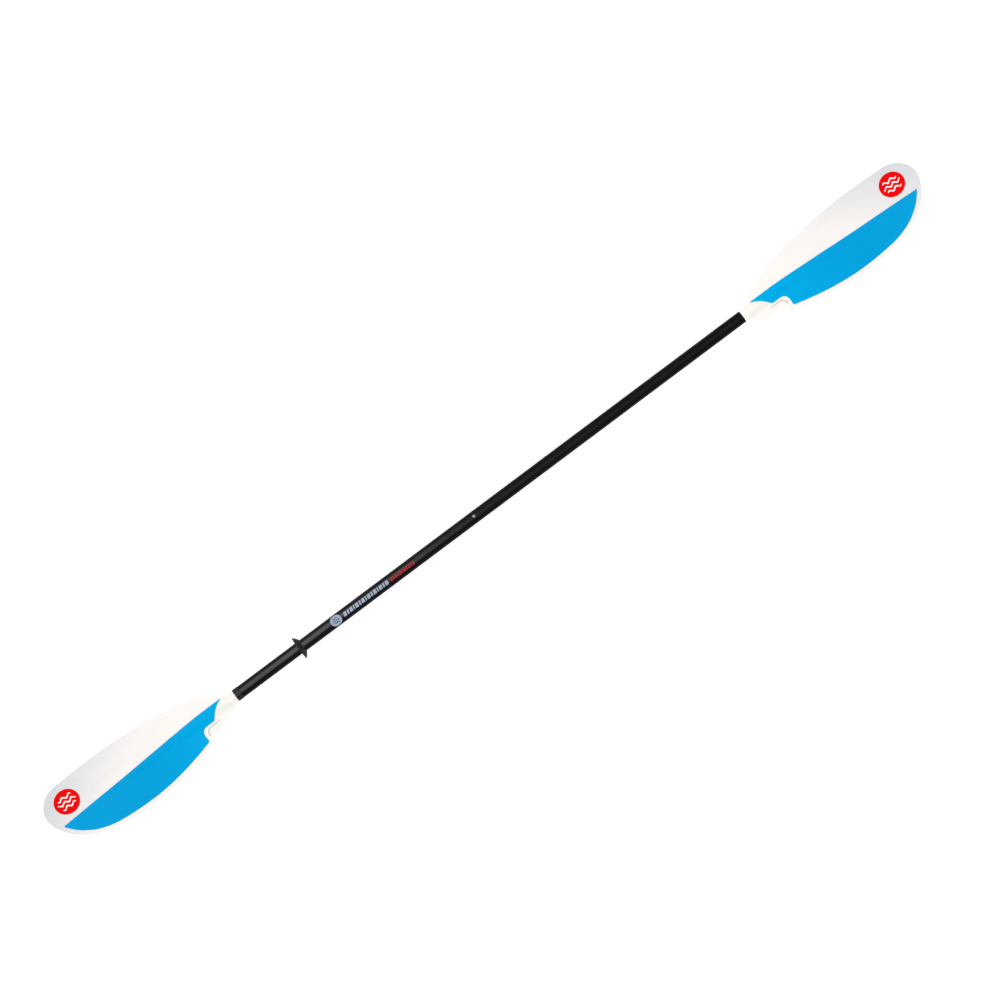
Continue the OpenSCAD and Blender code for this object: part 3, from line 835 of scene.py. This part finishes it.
def film_solid(tris, under, over):
    """A closed thin sheet: the triangles over, the same under, and a wall round them. With it
    come the number of triangles and the points used."""
    used = np.unique(tris)
    number = np.full(len(over), -1)
    number[used] = np.arange(len(used))
    tris = number[tris]
    n = len(used)
    sides = dict.fromkeys(e for a, b, c in tris for e in ((a, b), (b, c), (c, a)))
    wall = [(a, a + n, b + n, b) for a, b in sides if (b, a) not in sides]
    faces = [tuple(t) for t in tris] + [tuple(t[::-1] + n) for t in tris] + wall
    return np.concatenate([over[used], under[used]]), faces, len(tris), used


def blade_film(loops, holes=()):
    """The face's triangles inside one of the loops, and whether each is inside a hole."""
    middle = FACE["xy"][FACE["tris"]].mean(1)
    chosen = np.any([inside(middle, loop) for loop in loops], 0)
    marked = np.zeros(len(middle), bool)
    for loop in holes:
        marked |= inside(middle, loop)
    return FACE["tris"][chosen], marked[chosen]


FILM_LOW = 0.04
FILM_HIGH = 0.16


def add_blade(side, left):
    """One blade: its shell, and the films on its face, which stand off it by a hair."""
    body = side + "_half"
    verts, faces, normals, marks = blade_shell()
    verts, faces, normals = placed(verts, faces, normals, left)
    shell = make_piece(side + "_blade_shell", verts, faces, body, [WHITE],
                       normals=normals, marks=marks)
    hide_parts(side + "_blade")
    face = np.column_stack([FACE["xy"], FACE["z"]])
    up = FACE["normals"]
    for name, slot, loops, holes, materials in (
            ("panel", "panel_blue", [PANEL], [], [BLUE]),
            ("badge", "badge_red", [DISC], WAVES, [RED, PALE])):
        tris, marked = blade_film(loops, holes)
        verts, faces, n, used = film_solid(tris, face + up * FILM_LOW, face + up * FILM_HIGH)
        kinds = np.concatenate([marked, marked, np.zeros(len(faces) - 2 * n)])
        normals = np.concatenate([up[used], up[used]])
        verts, faces, normals = placed(verts, faces, normals, left)
        piece = make_piece(f"{side}_blade_{name}_film", verts, faces, body, materials, kinds,
                           normals)
        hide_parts(f"{side}_blade_{name}")


def lathe(name, profile, body, material, segments=128, sharp=35):
    """A closed profile of (x, radius) points in millimetres, turned about the shaft's axis."""
    profile = np.array(profile, float)
    n = len(profile)
    angles = np.linspace(0, 2 * np.pi, segments, endpoint=False)
    verts = [(x, r * math.sin(a), r * math.cos(a)) for a in angles for x, r in profile]
    faces = [(i * n + k, i * n + m, j * n + m, j * n + k)
             for i, j in loop_edges(0, segments) for k, m in loop_edges(0, n)]
    area = sum(x1 * r2 - x2 * r1 for (x1, r1), (x2, r2) in zip(profile, np.roll(profile, -1, 0)))
    if area > 0:  # the profile runs the other way round, and the faces would point inwards
        faces = [f[::-1] for f in faces]
    return make_piece(name, verts, faces, body, [material], sharp=sharp)


def rounded(points, radius, steps=5):
    """A closed outline with each corner rounded by up to that radius."""
    points = np.array(points, float)
    out = []
    for before, at, after in zip(np.roll(points, 1, 0), points, np.roll(points, -1, 0)):
        a, b = before - at, after - at
        la, lb = np.linalg.norm(a), np.linalg.norm(b)
        cut = min(radius, 0.45 * la, 0.45 * lb)
        start, end = at + a / la * cut, at + b / lb * cut
        for t in np.linspace(0, 1, steps):
            out.append((1 - t) ** 2 * start + 2 * t * (1 - t) * at + t * t * end)
    return np.array(out)


RING_GAP = 0.12
COLLAR_GAP = 0.03


def add_drip_ring():
    """A rubber cup: its outside from the hub to the rim, then its inside back to the hub."""
    low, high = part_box("drip_ring")
    hub = high.x / MM
    rim = low.x / MM
    rim_r = high.y / MM
    hub_r = TUBE_R + RING_GAP
    profile = [(hub, hub_r), (hub, TUBE_R + 0.9), (hub - 0.7, TUBE_R + 1.9),
               (hub - 2.1, TUBE_R + 4.2), (hub - 4.4, TUBE_R + 7.5), (hub - 7, rim_r - 3),
               (rim + 1.6, rim_r - 0.3), (rim + 0.9, rim_r), (rim + 0.3, rim_r),
               (rim, rim_r - 0.7), (rim + 0.7, rim_r - 1.9), (hub - 7.8, rim_r - 5.2),
               (hub - 5.6, TUBE_R + 5.4), (hub - 4.4, TUBE_R + 3), (hub - 5.4, TUBE_R + 1.3),
               (hub - 5.6, hub_r)]
    ring = lathe("drip_ring_cup", rounded(profile, 0.8), "drip_ring", RUBBER)
    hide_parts("drip_ring")


def add_collar():
    """The vinyl sleeve at the left tube's blade end."""
    low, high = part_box("left_end_collar")
    a, b, r = low.x / MM, high.x / MM, high.y / MM
    inner = TUBE_R + COLLAR_GAP
    profile = [(a, inner), (a, r), (b, r), (b, inner)]
    collar = lathe("left_end_sleeve", rounded(profile, 0.35), "left_half", VINYL)
    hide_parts("left_end_collar")


PRINT_DISC_X = -422.6
PRINT_DISC_R = 13.6
PRINT_WAVES = ((-5, 7), (0, 9.5), (5, 7))
PRINT_WAVE_SHAPE = (1.1, 7, 2.0, 25)
PALE_RUN = (-401.5, -279)
PALE_DASHES = {"widths": (7.5, 4.2, 7.5, 3), "gap": 2.6, "half": 5.0, "lean": 0.9}
RED_RUN = (-271.8, -204.2)
RED_DASHES = {"widths": (4.2, 2.2), "gap": 2.8, "half": 4.6, "lean": 0.6}
INK_LOW = 0.015
INK_HIGH = 0.075
DASH_STEP = 1.2
PRINT_GRID = 1.3
GRID_SHIFT = 0.013


def pattern(loops):
    """Triangles of flat loops on a plane: the points, the triangles, and which loops hold each."""
    points = np.concatenate(loops)
    edges, start = [], 0
    for loop in loops:
        edges += loop_edges(start, len(loop))
        start += len(loop)
    low, high = points.min(0), points.max(0)
    grid = np.array([(x, y) for x in np.arange(low[0], high[0], PRINT_GRID)
                     for y in np.arange(low[1], high[1], PRINT_GRID)])
    verts, tris, _, _ = flat_mesh(np.concatenate([points, grid + GRID_SHIFT]), edges, 1e-5)
    middle = verts[tris].mean(1)
    held = np.array([inside(middle, loop) for loop in loops])
    return verts, tris, held


def on_tube(points, lift):
    """Flat (x, v) points wrapped round the tube, v from the top towards +Y."""
    r = TUBE_R + lift
    a = points[:, 1] / TUBE_R
    return np.column_stack([points[:, 0], r * np.sin(a), r * np.cos(a)])


def dashes(start, end, widths, gap, half, lean):
    """Slanted dashes that fill a run, their widths taken in turn from the list."""
    loops, x, k = [], start, 0
    while x < end - min(widths):
        w = min(widths[k % len(widths)], end - x)
        corners = [(x - lean, -half), (x + w - lean, -half), (x + w + lean, half),
                   (x + lean, half)]
        loops.append(resample(corners + corners[:1], DASH_STEP)[:-1])
        x += w + gap
        k += 1
    return loops


def add_prints():
    """A pale disc with dark waves, then pale and red dashes, printed on the left tube."""
    disc = arc(PRINT_DISC_X, 0, PRINT_DISC_R, PRINT_DISC_R, 0, 354, 60)
    waves = [wave_loop(PRINT_DISC_X, v, half, *PRINT_WAVE_SHAPE) for v, half in PRINT_WAVES]
    pale = dashes(*PALE_RUN, **PALE_DASHES)
    red = dashes(*RED_RUN, **RED_DASHES)
    verts, tris, held = pattern([disc] + waves + pale + red)
    in_disc, in_wave = held[0], held[1:1 + len(waves)].any(0)
    bars = held[1 + len(waves):]
    in_pale, in_red = bars[:len(pale)].any(0), bars[len(pale):].any(0)
    shown = (in_disc & ~in_wave) | in_pale | in_red
    made, faces, n, _ = film_solid(tris[shown], on_tube(verts, INK_LOW), on_tube(verts, INK_HIGH))
    kinds = np.concatenate([in_red[shown], in_red[shown], np.zeros(len(faces) - 2 * n)])
    prints = make_piece("shaft_prints", made, faces, "left_half",
                        [INK_PALE, INK_RED], kinds)
    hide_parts("shaft_decals")


SPRING_STEP = 0.001


def add_spring():
    """The button's leaf spring, cut across at every millimetre along its length."""
    low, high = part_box("snap_spring")
    cut = bmesh.new()
    cut.from_mesh(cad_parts["snap_spring"].data)
    cut.transform(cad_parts["snap_spring"].matrix_world)
    for x in np.arange(low.x + SPRING_STEP, high.x, SPRING_STEP):
        bmesh.ops.bisect_plane(cut, geom=cut.verts[:] + cut.edges[:] + cut.faces[:],
                               plane_co=(x, 0, 0), plane_no=(1, 0, 0))
    mesh = bpy.data.meshes.new("leaf_spring")
    cut.to_mesh(mesh)
    cut.free()
    mesh.materials.clear()
    mesh.materials.append(SPRING_STEEL)
    mesh.shade_smooth()
    mesh.set_sharp_from_angle(angle=math.radians(35))
    spring = add_object("leaf_spring", mesh)
    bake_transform(spring)
    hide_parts("snap_spring")


def paint_frame():
    """Finishes for the CAD nodes that stay."""
    for node, material in (("left_shaft_tube", TUBE), ("right_shaft_tube", TUBE),
                           ("left_tube_bung", RUBBER), ("ferrule_washer", WASHER),
                           ("ferrule_insert", NYLON), ("ferrule_end_cap", NYLON),
                           ("left_blade_pin", PIN_METAL), ("right_blade_pin", PIN_METAL),
                           ("ferrule_pin", PIN_METAL), ("snap_button", POLISHED)):
        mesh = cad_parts[node].data
        mesh.materials.clear()
        mesh.materials.append(material)


# ---------------------------------------------------------------- stage, light and camera
VIEW_WIDTH = 2.216
SHAFT_ANGLE = 36.8
OFF_CENTRE = (-0.0241, -0.0135)
LENS = 120
SENSOR = 36
FLOOR_HALF = 30
FLOOR_GAP = 0.01
FLOOR_GLOW = 0.3
WORLD_LIGHT = 0.72


def add_stage():
    """A pale floor, low enough for a blade to swing round above it when the halves turn."""
    mesh = bpy.data.meshes.new("floor")
    h, z = FLOOR_HALF, -cad_high.y - FLOOR_GAP
    mesh.from_pydata([(-h, -h, z), (h, -h, z), (h, h, z), (-h, h, z)], [], [(0, 1, 2, 3)])
    floor = add_object("floor", mesh)
    p = Paint("floor_paper", Specular_IOR_Level=0.1)
    p.colour(p.blend(p.noise(3, 2), srgb(252, 252, 252), srgb(255, 255, 255)))
    p.shader.inputs["Roughness"].default_value = 0.9
    p.shader.inputs["Emission Color"].default_value = (1, 1, 1, 1)
    p.shader.inputs["Emission Strength"].default_value = FLOOR_GLOW
    mesh.materials.append(p.material)


def add_light(name, place, size, watts, target=(0, 0, 0), shine_only=False):
    """A rectangular lamp. One that is shine_only makes highlights and no diffuse light."""
    data = bpy.data.lights.new(name, "AREA")
    data.shape = "RECTANGLE"
    data.size, data.size_y = size
    data.energy = watts
    light = add_object(name, data)
    light.location = place
    light.visible_diffuse = not shine_only
    light.rotation_euler = (Vector(target) - Vector(place)).to_track_quat("-Z", "Y").to_euler()


def add_camera():
    """Straight down on the faces, turned so that the shaft runs up to the right."""
    a = math.radians(SHAFT_ANGLE)
    right = Vector((math.cos(a), -math.sin(a), 0))
    up = Vector((math.sin(a), math.cos(a), 0))
    data = bpy.data.cameras.new("camera")
    data.lens = LENS
    data.sensor_width = SENSOR
    distance = VIEW_WIDTH * LENS / SENSOR
    camera = add_object("camera", data)
    camera.location = -right * OFF_CENTRE[0] - up * OFF_CENTRE[1] + Vector((0, 0, distance))
    camera.rotation_euler = (0, 0, -a)
    data.clip_end = 100
    bpy.context.scene.camera = camera


def add_world():
    world = bpy.data.worlds.new("studio")
    world.use_nodes = True
    world.node_tree.nodes["Background"].inputs["Color"].default_value = (1, 1, 1, 1)
    world.node_tree.nodes["Background"].inputs["Strength"].default_value = WORLD_LIGHT
    bpy.context.scene.world = world
    bpy.context.scene.view_settings.view_transform = "Standard"


add_camera()
add_world()
add_light("overhead", (1.1, 0.8, 9), (9, 9), 408)
add_light("strip", (-1.2, 3.4, 9.5), (1.15, 16), 1260, (-1.2, 0, 0), shine_only=True)
add_stage()
paint_frame()
add_blade("left", True)
add_blade("right", False)
add_drip_ring()
add_collar()
add_prints()
add_spring()
